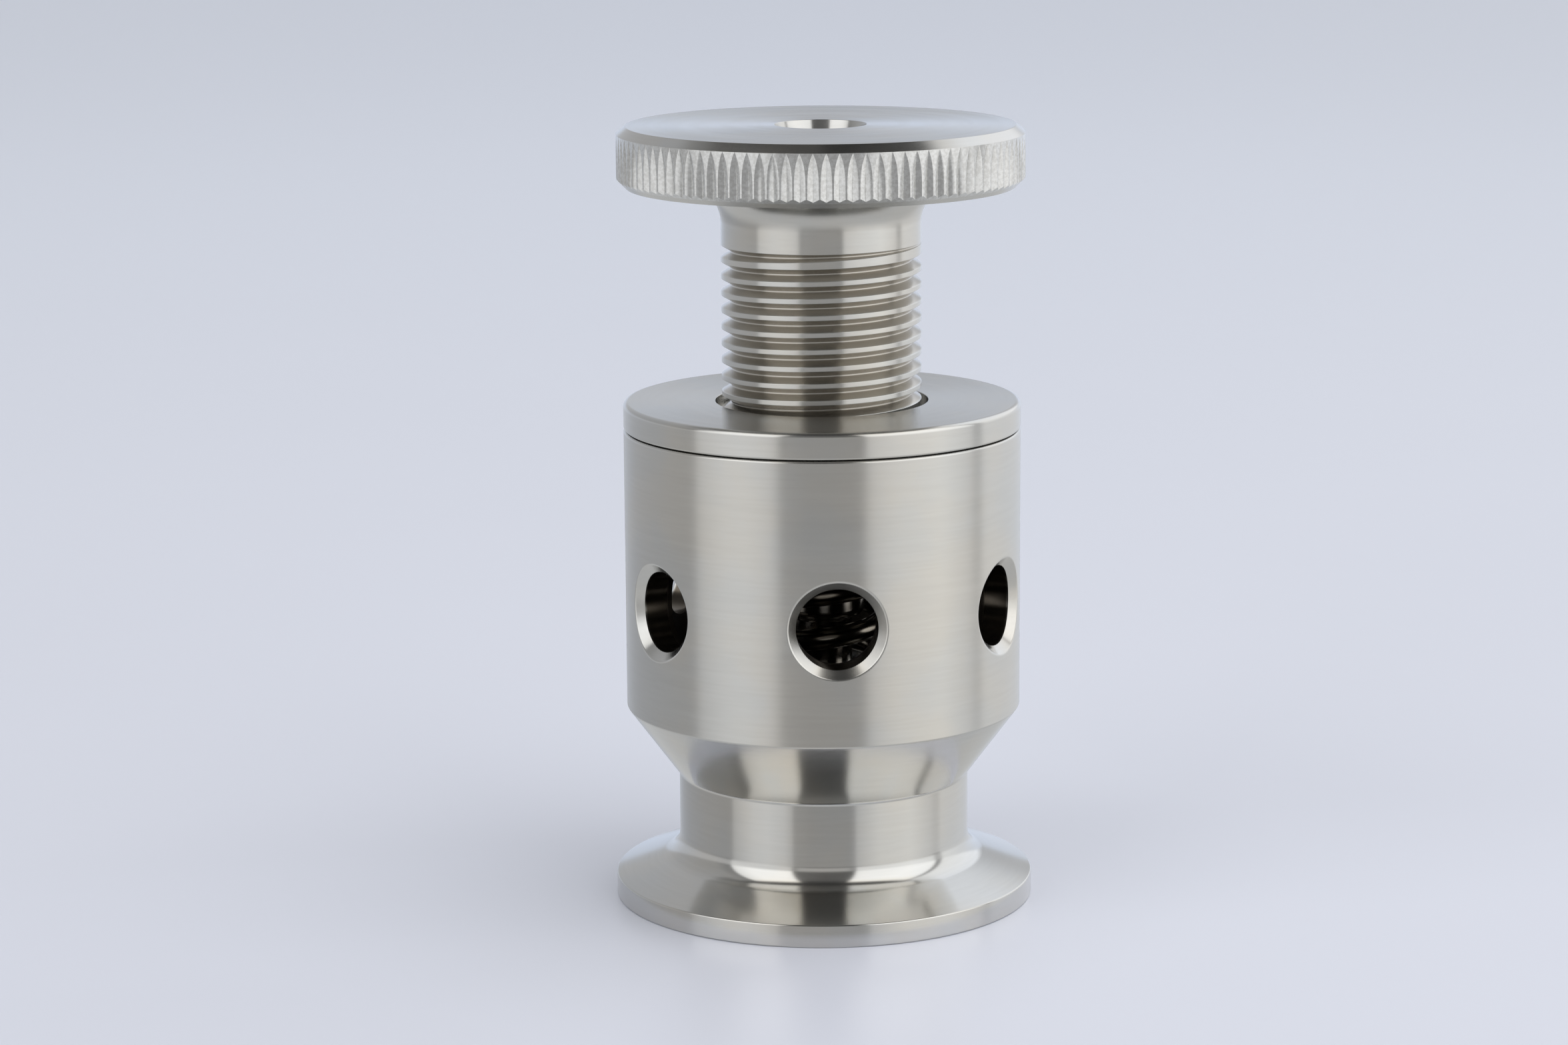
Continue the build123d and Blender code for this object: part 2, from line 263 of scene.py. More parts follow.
def profile_strips(outline, closed=True, arc_steps=6):
    """Straight and rounded stretches of an outline as [(points, normals), ...].

    The outline lists (radius, height, corner rounding) anticlockwise round the metal.
    """
    corners = [np.array(c[:2], float) for c in outline]
    count = len(corners)
    starts, ends, arcs = [None] * count, [None] * count, [None] * count
    for i in range(count):
        rounding = outline[i][2]
        at_end = not closed and i in (0, count - 1)
        if at_end or rounding == 0:
            starts[i] = ends[i] = corners[i]
            continue
        back = corners[i - 1] - corners[i]
        ahead = corners[(i + 1) % count] - corners[i]
        back = back / np.linalg.norm(back)
        ahead = ahead / np.linalg.norm(ahead)
        half = np.arccos(np.clip(back @ ahead, -1, 1)) / 2
        reach = rounding / np.tan(half)
        centre = corners[i] + (back + ahead) / np.linalg.norm(back + ahead) * rounding / np.sin(half)
        starts[i] = corners[i] + back * reach
        ends[i] = corners[i] + ahead * reach
        first = atan2(*(starts[i] - centre)[::-1])
        sweep = (atan2(*(ends[i] - centre)[::-1]) - first + pi) % (2 * pi) - pi
        angles = first + sweep * np.linspace(0, 1, arc_steps + 1)
        ring = np.stack([np.cos(angles), np.sin(angles)], axis=1)
        outwards = ring if sweep > 0 else -ring
        arcs[i] = (centre + ring * rounding, outwards)
    strips = []
    for i in range(count):
        if arcs[i] is not None:
            strips.append(arcs[i])
        if not closed and i == count - 1:
            break
        start, end = ends[i], starts[(i + 1) % count]
        along = end - start
        length = np.linalg.norm(along)
        if length > 1e-6:
            normal = np.array([along[1], -along[0]]) / length
            strips.append((np.array([start, end]), np.array([normal, normal])))
    return strips


def lathe(surface, strips, columns=COLUMNS):
    """Turns profile strips round the axis."""
    angles = np.linspace(0, 2 * pi, columns + 1)
    around = np.stack([np.cos(angles), np.sin(angles)], axis=1)
    around[-1] = around[0]
    for points, normals in strips:
        grid = np.empty((len(points), columns + 1, 3))
        facing = np.empty_like(grid)
        grid[..., :2] = points[:, None, :1] * around[None]
        grid[..., 2] = points[:, 1:2]
        facing[..., :2] = normals[:, None, :1] * around[None]
        facing[..., 2] = normals[:, 1:2]
        surface.add_grid(grid, facing)


# ---- Body --------------------------------------------------------------------------------
def sector_boundary(half_angle, half_height, side_steps, top_steps):
    """Points round the edge of one vent's sector, as (angle from its middle, height)."""
    right = [(half_angle, h) for h in np.linspace(-half_height, half_height, side_steps + 1)]
    top = [(a, half_height) for a in np.linspace(half_angle, -half_angle, top_steps + 1)[1:]]
    left = [(-half_angle, h) for h in np.linspace(half_height, -half_height, side_steps + 1)[1:]]
    bottom = [(a, -half_height) for a in np.linspace(-half_angle, half_angle, top_steps + 1)[1:]]
    return np.array(right + top + left + bottom)


def cylinder_points(radius, lateral, height, middle_angle):
    """Points on a cylinder, given by their offset across the direction of a vent."""
    depth = np.sqrt(radius**2 - lateral**2)
    x = depth * cos(middle_angle) - lateral * sin(middle_angle)
    y = depth * sin(middle_angle) + lateral * cos(middle_angle)
    return np.stack([x, y, height], axis=-1)


def add_vent(surface, middle_angle):
    """One sector of the vented wall: outer skin, chamfer, bore and inner skin."""
    side_steps = 24
    half_angle = pi / vent_count
    middle = (vent_zone[0] + vent_zone[1]) / 2
    half_height = (vent_zone[1] - vent_zone[0]) / 2
    boundary = sector_boundary(half_angle, half_height, side_steps, COLUMNS // vent_count)
    outwards = np.array([cos(middle_angle), sin(middle_angle), 0])
    sideways = np.array([-sin(middle_angle), cos(middle_angle), 0])
    upwards = np.array([0, 0, 1.0])

    turn = np.arctan2(boundary[:, 1] + middle - vent_height, boundary[:, 0] * body_radius)
    circle = np.stack([np.cos(turn), np.sin(turn)], axis=1)
    spokes = circle[:, :1] * sideways + circle[:, 1:] * upwards

    def skin(radius, hole_radius, inside):
        """The cylinder between a round hole and the edge of the sector."""
        edge_lateral = radius * np.sin(boundary[:, 0])
        edge_height = boundary[:, 1] + middle
        rings = []
        for share in np.linspace(0, 1, 6) ** 1.4:  # finer near the hole
            lateral = (1 - share) * hole_radius * circle[:, 0] + share * edge_lateral
            height = (1 - share) * (vent_height + hole_radius * circle[:, 1]) + share * edge_height
            rings.append(cylinder_points(radius, lateral, height, middle_angle))
        points = np.array(rings)
        normals = points * [1, 1, 0]
        surface.add_grid(points, -normals if inside else normals)

    def hole_ring(hole_radius, wall_radius, depth):
        """A ring of the hole, sunk this deep under the wall's surface."""
        lateral = hole_radius * circle[:, 0]
        height = vent_height + hole_radius * circle[:, 1]
        return cylinder_points(wall_radius, lateral, height, middle_angle) - depth * outwards

    outer = vent_radius + vent_chamfer
    edge_sink = 0.7 * vent_edge  # how deep the rounded edge reaches down the chamfer
    skin(body_radius, outer + vent_edge, inside=False)
    start = hole_ring(outer + vent_edge, body_radius, 0)
    skin_normals = start * [1, 1, 0] / body_radius
    chamfer_normals = outwards * sqrt(0.5) - spokes * sqrt(0.5)
    steps = np.linspace(0, 1, 5)[:, None, None]
    soft_normals = (1 - steps) * skin_normals + steps * chamfer_normals
    corner = hole_ring(outer, body_radius, 0)
    end = hole_ring(outer - edge_sink, body_radius, edge_sink)
    soft_points = (1 - steps) ** 2 * start + 2 * steps * (1 - steps) * corner + steps**2 * end
    surface.add_grid(soft_points, soft_normals)
    bottom = hole_ring(vent_radius, body_radius, vent_chamfer)
    surface.add_grid(np.array([end, bottom]), np.array([chamfer_normals] * 2))
    inner = hole_ring(vent_radius, chamber_radius, 0)
    surface.add_grid(np.array([bottom, inner]), np.array([-spokes] * 2))
    skin(chamber_radius, vent_radius, inside=True)


def make_body(material):
    """The turned wall under and over the vents, and between them one sector for each vent."""
    ferrule_rise = (ferrule_radius - neck_radius) * tan(radians(clamp_cone_angle))
    seat_radius = inlet_radius + seat_land
    lower = [
        (chamber_radius, vent_zone[0], 0),
        (chamber_radius, chamber_cone_top, inner_edge_radius),
        (chamber_foot_radius, chamber_floor, chamber_foot_fillet),
        (seat_radius + seat_bevel, chamber_floor, inner_edge_radius),
        (seat_radius, seat_height, seat_edge),
        (inlet_radius, seat_height, seat_edge),
        (inlet_radius, 0, edge_break),
        (gasket_groove_radius - gasket_groove_half_width, 0, groove_edge),
        (gasket_groove_radius - gasket_groove_floor, gasket_groove_depth, gasket_groove_floor),
        (gasket_groove_radius + gasket_groove_floor, gasket_groove_depth, gasket_groove_floor),
        (gasket_groove_radius + gasket_groove_half_width, 0, groove_edge),
        (ferrule_radius, 0, edge_break),
        (ferrule_radius, ferrule_rim_height, edge_break),
        (neck_radius, ferrule_rim_height + ferrule_rise, ferrule_foot_fillet),
        (neck_radius, neck_top, neck_edge_radius),
        (body_radius, shoulder_top, shoulder_edge_radius),
        (body_radius, vent_zone[0], 0),
    ]
    upper = [
        (body_radius, vent_zone[1], 0),
        (body_radius, body_top, body_edge_radius),
        (mouth_radius + mouth_bevel, body_top, fine_edge),
        (mouth_radius, body_top - mouth_bevel, 0),
        (mouth_radius, mouth_floor, 0),
        (chamber_radius, mouth_floor, edge_break),
        (chamber_radius, vent_zone[1], 0),
    ]
    surface = Surface()
    lathe(surface, profile_strips(lower, closed=False))
    lathe(surface, profile_strips(upper, closed=False))
    for i in range(vent_count):
        add_vent(surface, -pi / 2 + 2 * pi * i / vent_count)
    return surface.make("body_shell", material)


# ---- Cap ---------------------------------------------------------------------------------
def make_cap(material):
    """The ring that the screw turns in. Its bore is plain, because the screw hides the thread."""
    outline = [
        (cap_bore_radius + cap_bore_chamfer, cap_bottom, fine_edge),
        (spigot_radius - spigot_chamfer, cap_bottom, fine_edge),
        (spigot_radius, cap_bottom + spigot_chamfer, 0),
        (spigot_radius, body_top - undercut_height, 0),
        (undercut_radius, body_top - undercut_height, edge_break),
        (undercut_radius, body_top + cap_gap, 0),
        (body_radius, body_top + cap_gap, cap_joint_edge),
        (body_radius, cap_top, cap_edge_radius),
        (cap_mouth_radius, cap_top, cap_mouth_edge),
        (cap_mouth_foot_radius, cap_top - cap_mouth_depth, 0),
        (cap_bore_radius, cap_top - cap_bore_depth, 0),
        (cap_bore_radius, cap_bottom + edge_break, 0),
    ]
    surface = Surface()
    lathe(surface, profile_strips(outline))
    return surface.make("cap_ring", material)


# ---- Adjusting screw ---------------------------------------------------------------------
def groove_outline(lift):
    """One pitch of the thread as (radius, height, rounding), its groove made shallower by lift."""
    least_depth, least_root = 0.001, 0.02
    shallow = 0.3  # a groove under this depth has finer edges
    depth = max(thread_depth - lift, least_depth)
    crest_half_width = (thread_pitch - thread_crest_width) / 2
    root_half_width = max(crest_half_width - thread_depth * flank_slope, least_root)
    mouth_half_width = root_half_width + depth * flank_slope
    root_radius = thread_crest_radius - depth
    rounding = thread_edge_radius * min(1.0, depth / shallow)
    return [
        (thread_crest_radius, -thread_pitch / 2, 0),
        (thread_crest_radius, -mouth_half_width, rounding),
        (root_radius, -root_half_width, rounding),
        (root_radius, root_half_width, rounding),
        (thread_crest_radius, mouth_half_width, rounding),
        (thread_crest_radius, thread_pitch / 2, 0),
    ]


def add_thread(surface):
    """The helical groove, fading out at both ends, and the plain bands that close it."""
    steps_per_turn = 120
    top_turn = thread_groove_turns + thread_top_fade
    lowest = thread_ring_bottom + thread_ring_room
    bottom_turn = ceil((lowest - thread_groove_start) / thread_pitch * 2) / 2
    turns = np.linspace(bottom_turn, top_turn, int((top_turn - bottom_turn) * steps_per_turn) + 1)
    points, normals = [], []
    for turn in turns:
        into_top = (turn - thread_groove_turns) / thread_top_fade
        into_bottom = (bottom_turn + thread_bottom_fade - turn) / thread_bottom_fade
        fade = max(into_top, into_bottom, 0)
        strips = profile_strips(groove_outline(fade * thread_depth), closed=False, arc_steps=3)
        line = np.concatenate([s[0] for s in strips])
        facing = np.concatenate([s[1] for s in strips])
        angle = 2 * pi * turn
        height = thread_groove_start + thread_pitch * turn
        radial = np.array([cos(angle), sin(angle), 0])
        tangent = np.array([-sin(angle), cos(angle), 0])
        lean = -facing[:, 1:] * thread_pitch / (2 * pi * line[:, :1])
        points.append(line[:, :1] * radial + (line[:, 1:] + height) * [0, 0, 1])
        normals.append(facing[:, :1] * radial + facing[:, 1:] * [0, 0, 1] + lean * tangent)
    surface.add_grid(np.array(points).swapaxes(0, 1), np.array(normals).swapaxes(0, 1))

    for first_turn, side, ring in (
        (top_turn - 1, thread_pitch / 2, thread_ring_top),
        (bottom_turn, -thread_pitch / 2, thread_ring_bottom),
    ):
        band = np.linspace(first_turn, first_turn + 1, steps_per_turn + 1)
        radial = np.stack([np.cos(2 * pi * band), np.sin(2 * pi * band), 0 * band], axis=1)
        edge = thread_groove_start + thread_pitch * band + side
        rows = [
            radial * thread_crest_radius + np.outer(edge, [0, 0, 1]),
            radial * thread_crest_radius + np.outer(0 * edge + ring, [0, 0, 1]),
        ]
        surface.add_grid(np.array(rows), np.array([radial, radial]))


def knurl_shape(height, across):
    """The knurl's depth here, its depth in the bottom of the groove, and the flank's width.

    across runs from 0 in the bottom of a groove to 1 at the edge of the land.
    """
    share_up = (height - rim_bottom) / (rim_top - rim_bottom)
    deepest = knurl_depth * (1 - share_up**3)
    width = knurl_half_width * (1 - share_up**4)
    return deepest * (1 - across) ** knurl_hollow, deepest, width


def rim_point(height, share, side, middle):
    """A point of the knurled rim, with its normal. A share of 2 is the middle of the land."""
    across = min(share, 1.0)
    depth, deepest, width = knurl_shape(height, across)
    offset = width * across if share <= 1 else knurl_pitch_angle * wheel_radius / 2
    turn = middle + side * offset / wheel_radius
    radial = np.array([cos(turn), sin(turn), 0])
    tangent = np.array([-sin(turn), cos(turn), 0])
    upwards = np.array([0, 0, 1.0])
    scallop = depth if height <= rim_bottom else 0
    point = (wheel_radius - depth) * radial + (height - scallop) * upwards
    normal = radial
    if share < 1 and width > 1e-6:
        rim_height = rim_top - rim_bottom
        share_up = (height - rim_bottom) / rim_height
        slope_round = knurl_hollow * deepest * (1 - across) ** (knurl_hollow - 1) / width
        slope_up = 3 * knurl_depth * share_up**2 / rim_height * (1 - across) ** knurl_hollow
        normal = radial - side * slope_round * tangent - slope_up * upwards
    return point, normal


def add_knurl(surface):
    """The rim of the wheel: grooves that fade out upwards, and their scalloped bottom edge."""
    rows_up, flank_columns = 21, 7
    closer_at_top = 1 - np.linspace(1, 0, rows_up) ** 1.5
    heights = rim_bottom + (rim_top - rim_bottom) * closer_at_top
    shares = (*np.linspace(0, 1, flank_columns) ** 0.8, 2.0)
    slope = (rim_bottom - wheel_bottom) / (wheel_radius - wheel_face_radius)
    for i in range(knurl_count):
        middle = knurl_start + i * knurl_pitch_angle
        for side in (-1, 1):
            rows = [[rim_point(height, share, side, middle) for share in shares] for height in heights]
            grid = np.array(rows)
            surface.add_grid(grid[:, :, 0], grid[:, :, 1])
            edge = grid[0, :, 0]
            planar = np.hypot(edge[:, 0], edge[:, 1])[:, None]
            foot = edge * [1, 1, 0] * wheel_face_radius / planar + [0, 0, wheel_bottom]
            cone = edge * [1, 1, 0] / planar - [0, 0, 1 / slope]
            surface.add_grid(np.array([edge, foot]), np.array([cone, cone]))


def make_adjusting_screw(material):
    """The hollow screw and its handwheel, turned from one bar."""
    shank = [
        (thread_crest_radius, thread_ring_top, 0),
        (thread_crest_radius, wheel_bottom, wheel_fillet),
        (wheel_face_radius, wheel_bottom, 0),
    ]
    head = [
        (wheel_radius, rim_top, 0),
        (wheel_face_radius, wheel_top, wheel_edge_radius),
        (guide_mouth_radius, wheel_top, guide_mouth_edge),
        (guide_hole_radius, wheel_top - guide_mouth_depth, guide_mouth_edge),
        (guide_hole_radius, spring_bore_top, 0),
        (spring_bore_radius, spring_bore_top, inner_edge_radius),
        (spring_bore_radius, screw_bottom + spring_bore_chamfer, 0),
        (spring_bore_radius + spring_bore_chamfer, screw_bottom, 0),
        (thread_crest_radius - screw_end_chamfer, screw_bottom, fine_edge),
        (thread_crest_radius, screw_bottom + screw_end_chamfer, fine_edge),
        (thread_crest_radius, thread_ring_bottom, 0),
    ]
    surface = Surface()
    lathe(surface, profile_strips(shank, closed=False, arc_steps=10))
    lathe(surface, profile_strips(head, closed=False))
    add_thread(surface)
    add_knurl(surface)
    return surface.make("handwheel_screw", material)


# ---- Spring ------------------------------------------------------------------------------
def make_spring_part(name, material, low, high):
    """A stretch of the wound wire between two heights of its centre line, with ground ends."""
    ring_steps = 24
    steps_per_coil = 72
    heights = np.linspace(low, high, int(abs(high - low) / coil_pitch * steps_per_coil) + 1)
    angles = -pi / 2 + 2 * pi * (heights - front_coil_height) / coil_pitch
    ring = np.linspace(0, 2 * pi, ring_steps + 1)[:, None, None]
    radial = np.stack([np.cos(angles), np.sin(angles), 0 * angles], axis=1)
    tangent = np.stack([-np.sin(angles), np.cos(angles), 0 * angles], axis=1)
    tangent = tangent + [0, 0, coil_pitch / (2 * pi * coil_radius)]
    tangent /= np.linalg.norm(tangent, axis=1, keepdims=True)
    binormal = np.cross(radial, tangent)
    centre = radial * coil_radius + np.outer(heights, [0, 0, 1])
    facing = np.cos(ring) * radial + np.sin(ring) * binormal
    points = centre + wire_radius * facing
    points[..., 2] = np.clip(points[..., 2], spring_bottom, spring_top)
    surface = Surface()
    surface.add_grid(points, facing)
    return surface.make(name, material)


# ---- Stem --------------------------------------------------------------------------------
def make_stem(material):
    """The guide rod, its waist inside the spring, and the threaded end that the nut hides."""
    outline = [
        (near_axis, stem_bottom, 0),
        (stem_thread_radius - stem_chamfer, stem_bottom, fine_edge),
        (stem_thread_radius, stem_bottom + stem_chamfer, fine_edge),
        (stem_thread_radius, stem_thread_top, 0),
        (waist_radius, stem_thread_top, 0),
        (waist_radius, stem_shoulder, waist_fillet),
        (stem_radius, stem_shoulder, stem_shoulder_fillet),
        (stem_radius, stem_top, stem_end_radius),
        (near_axis, stem_top, 0),
    ]
    surface = Surface()
    lathe(surface, profile_strips(outline, closed=False, arc_steps=8), columns=96)
    return surface.make("guide_stem", material)


# ---- Materials ---------------------------------------------------------------------------
class Graph:
    """Builds a node tree. An input takes either a value or another node's output."""

    def __init__(self, tree):
        self.tree = tree
        tree.nodes.clear()

    def add(self, kind, inputs=None, output=0, **settings):
        """Adds a node with these settings and inputs, and returns one of its outputs."""
        node = self.tree.nodes.new(kind)
        for key, value in settings.items():
            setattr(node, key, value)
        for key, value in (inputs or {}).items():
            self.feed(node.inputs[key], value)
        return node.outputs[output]

    def feed(self, socket, value):
        """Links an output to a socket, or sets the socket's value."""
        if isinstance(value, bpy.types.NodeSocket):
            self.tree.links.new(value, socket)
        else:
            socket.default_value = value

    def math(self, operation, first, second=0.0):
        """One step of arithmetic on two inputs."""
        return self.add("ShaderNodeMath", {0: first, 1: second}, operation=operation)

    def span(self, value, low, high, start=0.0, end=1.0):
        """Follows value smoothly from start at low to end at high."""
        inputs = {"Value": value, "From Min": low, "From Max": high, "To Min": start, "To Max": end}
        return self.add("ShaderNodeMapRange", inputs, interpolation_type="SMOOTHSTEP")

    def mix(self, factor, first, second, **settings):
        """Mixes two colours, by default from first at 0 to second at 1."""
        inputs = {"Factor": factor, 6: first, 7: second}
        return self.add("ShaderNodeMix", inputs, output=2, data_type="RGBA", **settings)

    def split(self, vector):
        """The x, y and z of a vector."""
        parts = self.tree.nodes.new("ShaderNodeSeparateXYZ")
        self.feed(parts.inputs[0], vector)
        return parts.outputs

    def noise(self, vector, scale, detail, w=None):
        """Smooth noise, in four dimensions where w is given."""
        inputs = {"Vector": vector, "Scale": scale, "Detail": detail}
        if w is None:
            return self.add("ShaderNodeTexNoise", inputs)
        return self.add("ShaderNodeTexNoise", inputs | {"W": w}, noise_dimensions="4D")

    def bump(self, height, strength, distance, normal=None):
        """A normal bent by a height, on top of another normal where one is given."""
        inputs = {"Height": height, "Strength": strength, "Distance": distance}
        if normal is not None:
            inputs["Normal"] = normal
        return self.add("ShaderNodeBump", inputs)


class Finish(Graph):
    """A material on one Principled shader, with the coordinates that turned parts need."""

    def __init__(self, name, metallic=1.0):
        self.material = bpy.data.materials.new(name)
        self.material.use_nodes = True
        super().__init__(self.material.node_tree)
        shader = self.tree.nodes.new("ShaderNodeBsdfPrincipled")
        output = self.tree.nodes.new("ShaderNodeOutputMaterial")
        self.tree.links.new(shader.outputs["BSDF"], output.inputs["Surface"])
        self.sockets = shader.inputs
        self.sockets["Metallic"].default_value = metallic
        self.place = self.add("ShaderNodeTexCoord", output=3)

    def set(self, **values):
        """Feeds the shader's sockets, named in lower case with underscores."""
        for name, value in values.items():
            self.feed(self.sockets[name.replace("_", " ").title()], value)

    def mask(self, value, edge, blend):
        """Goes from 0 at an edge to 1 a blend past it, in millimetres; a negative blend goes down."""
        return self.span(value, edge * MM, (edge + blend) * MM)

    def round_places(self):
        """The radius, the height, and a direction round the axis that has no seam, in two parts."""
        x, y, z = self.split(self.place)
        squares = self.math("ADD", self.math("MULTIPLY", x, x), self.math("MULTIPLY", y, y))
        radius = self.math("SQRT", squares)
        safe = self.math("MAXIMUM", radius, 1e-5)
        around_x = self.math("DIVIDE", x, safe)
        around_y = self.math("DIVIDE", y, safe)
        return radius, z, around_x, around_y

    def turned_lines(self, line_width, run):
        """Noise drawn out round the axis into lines of this width; run is how soon they change."""
        radius, z, around_x, around_y = self.round_places()
        vector = self.add(
            "ShaderNodeCombineXYZ",
            {
                0: self.math("MULTIPLY", around_x, run),
                1: self.math("MULTIPLY", around_y, run),
                2: self.math("MULTIPLY", z, 1 / line_width),
            },
        )
        return self.noise(vector, 1.0, 2.0, w=self.math("MULTIPLY", radius, 1 / line_width))


CLOUD_SCALE = 90.0
GRAIN_SCALE = 2600.0


def turned_steel(name, colour, roughness, anisotropy=0.8, line_depth=0.04, mottled=False, dress=None):
    """Stainless steel off the lathe: fine lines round the axis, which blur reflections across them.

    mottled bumps the surface with soft clouds in place of the lines. dress changes the tone,
    roughness and normal where a part looks different.
    """
    finish = Finish(name)
    fine = finish.turned_lines(line_width=0.0004, run=3.0)
    broad = finish.turned_lines(line_width=0.0016, run=1.2)
    cloud = finish.noise(finish.place, CLOUD_SCALE, 3.0)
    grain = finish.noise(finish.place, GRAIN_SCALE, 2.0)
    warm = (colour[0] * 1.02, colour[1], colour[2] * 0.97, 1)
    cool = (colour[0] * 0.98, colour[1] * 0.99, colour[2], 1)
    tone = finish.mix(finish.span(cloud, 0.35, 0.65), warm, cool)
    streaks = finish.mix(finish.span(fine, 0.3, 0.7), (0.975, 0.975, 0.973, 1), (1, 1, 1, 1))
    tone = finish.mix(1.0, tone, streaks, blend_type="MULTIPLY")
    bands = finish.span(broad, 0.3, 0.7, roughness * 0.94, roughness * 1.06)
    rough = finish.math("ADD", bands, finish.span(grain, 0.3, 0.7, -0.005, 0.005))
    normal = finish.bump(cloud if mottled else broad, line_depth, 0.00003)
    if dress:
        tone, rough, normal = dress(finish, tone, rough, normal)
    tangent = finish.add("ShaderNodeTangent", direction_type="RADIAL", axis="Z")
    finish.set(base_color=tone, roughness=rough, normal=normal, tangent=tangent)
    finish.set(anisotropic=anisotropy, anisotropic_rotation=0.25)
    return finish.material


def dress_body(finish, tone, rough, normal):
    """Polishes the body's foot, paints shade into the vents' bores, and paints shade into the chamber and
    roughens it.
    """
    blend = 0.4
    foot_polish = 0.62
    bore_radius, bore_low, bore_high = body_radius - 0.95, 30.0, 45.0
    chamber_shade_radius = chamber_radius + 0.8
    # painted shade: dark tones for the vents' bores and the chamber, where shade falls inside the body
    bore_painted_shade = (0.16, 0.14, 0.115, 1)
    chamber_painted_shade = (0.06, 0.052, 0.043, 1)
    chamber_roughness = 0.16

    radius, height = finish.round_places()[:2]
    polish = finish.span(height, (shoulder_top - blend) * MM, shoulder_top * MM, foot_polish, 1.0)
    rough = finish.math("MULTIPLY", rough, polish)
    # painted shade on the walls of the vents' bores
    bore = finish.mask(radius, bore_radius, -blend)
    bore = finish.math("MULTIPLY", bore, finish.mask(height, bore_low, blend))
    bore = finish.math("MULTIPLY", bore, finish.mask(height, bore_high, -blend))
    tone = finish.mix(bore, tone, bore_painted_shade)
    # painted shade on the chamber's inside, which is also made rougher
    chamber_shade_and_dull = finish.mask(radius, chamber_shade_radius, -blend)
    chamber_shade_and_dull = finish.math("MULTIPLY", chamber_shade_and_dull, finish.mask(height, chamber_floor, blend))
    tone = finish.mix(chamber_shade_and_dull, tone, chamber_painted_shade)
    rough = finish.math("ADD", rough, finish.math("MULTIPLY", chamber_shade_and_dull, chamber_roughness))
    return tone, rough, normal


def dress_screw(finish, tone, rough, normal):
    """Paints shade on the thread's flanks, down in its grooves, and gives the knurled rim a speckled,
    slightly rough skin.
    """
    flank_edge, flank_blend = thread_crest_radius - 0.06, -0.18
    thread_end, thread_end_blend = thread_ring_top + 0.5, -0.3
    rim_edge, rim_upper_edge, rim_blend = wheel_radius - 0.6, rim_top + 0.03, 0.1
    # painted shade for the thread's grooves
    flank_painted_shade = (0.52, 0.495, 0.45, 1)
    rim_dark, rim_pale = (0.60, 0.6, 0.59, 1), (0.70, 0.705, 0.70, 1)
    rim_roughness = 0.02

    radius, height = finish.round_places()[:2]
    # painted shade: the flanks and roots below the crest get a darker, browner tone
    flank = finish.mask(radius, flank_edge, flank_blend)
    flank = finish.math("MULTIPLY", flank, finish.mask(height, thread_end, thread_end_blend))
    tone = finish.mix(flank, tone, flank_painted_shade)
    rim = finish.mask(radius, rim_edge, rim_blend)
    rim = finish.math("MULTIPLY", rim, finish.mask(height, rim_upper_edge, -rim_blend))
    grain = finish.noise(finish.place, GRAIN_SCALE, 2.0)
    speckle = finish.mix(finish.span(grain, 0.35, 0.65), rim_dark, rim_pale)
    tone = finish.mix(rim, tone, speckle)
    rough = finish.math("ADD", rough, finish.math("MULTIPLY", rim, rim_roughness))
    normal = finish.bump(finish.math("MULTIPLY", grain, rim), 0.08, 0.00002, normal)
    return tone, rough, normal


def drawn_wire(name):
    """Spring wire with a slightly mottled gloss, its dark tone painted shade for the dark chamber it sits
    in.
    """
    finish = Finish(name)
    mottle = finish.noise(finish.place, 700.0, 3.0)
    scratches = finish.noise(finish.place, 5000.0, 1.0)
    # painted shade: the wire's tones are kept dark for the shaded chamber
    tone = finish.mix(finish.span(mottle, 0.35, 0.65), (0.2, 0.18, 0.15, 1), (0.24, 0.22, 0.185, 1))
    finish.set(
        base_color=tone,
        roughness=finish.span(mottle, 0.3, 0.7, 0.17, 0.21),
        normal=finish.bump(scratches, 0.02, 0.000005),
    )
    return finish.material


def silicone(name):
    """Matt off-white silicone with a moulded skin."""
    finish = Finish(name, metallic=0.0)
    cloud = finish.noise(finish.place, 300.0, 3.0)
    skin = finish.noise(finish.place, 4000.0, 2.0)
    finish.set(
        base_color=finish.mix(cloud, (0.72, 0.70, 0.64, 1), (0.82, 0.80, 0.75, 1)),
        roughness=finish.span(cloud, 0.3, 0.7, 0.5, 0.62),
        normal=finish.bump(skin, 0.15, 0.00003),
    )
    return finish.material


steel_colour = (0.605, 0.60, 0.58)
body_steel = turned_steel(
    "turned_steel_body", steel_colour, 0.24, anisotropy=0.65, line_depth=0.3, mottled=True, dress=dress_body
)
cap_steel = turned_steel("turned_steel_cap", steel_colour, 0.22, anisotropy=0.85, line_depth=0.06)
screw_steel = turned_steel("turned_steel_screw", steel_colour, 0.22, dress=dress_screw)
plain_steel = turned_steel("turned_steel_inside", steel_colour, 0.23)
# the stem is the same steel at about half the brightness, as painted shade for the dark chamber it stands
# in
shaded_stem_steel = turned_steel("shaded_turned_steel_stem", (0.3, 0.28, 0.25), 0.16)
shaded_spring_steel = drawn_wire("spring_wire_shaded")
seal_silicone = silicone("seal_silicone")

body = make_body(body_steel)
cap = make_cap(cap_steel)
screw = make_adjusting_screw(screw_steel)
stem = make_stem(shaded_stem_steel)
lower_spring = make_spring_part("spring_lower", shaded_spring_steel, spring_bottom - coil_overrun, spring_split)
upper_spring = make_spring_part("spring_upper", shaded_spring_steel, spring_split, spring_top + coil_overrun)

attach(body, "housing")
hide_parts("body")
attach(cap, "housing")
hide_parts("cap")
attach(screw, "handwheel")
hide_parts("adjusting_screw")
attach(stem, "poppet")
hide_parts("stem")
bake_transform(lower_spring)
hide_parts("spring")
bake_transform(upper_spring)
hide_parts("spring")

for name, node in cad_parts.items():
    node.data.materials.clear()
    node.data.materials.append(seal_silicone if name == "seal_ring" else plain_steel)

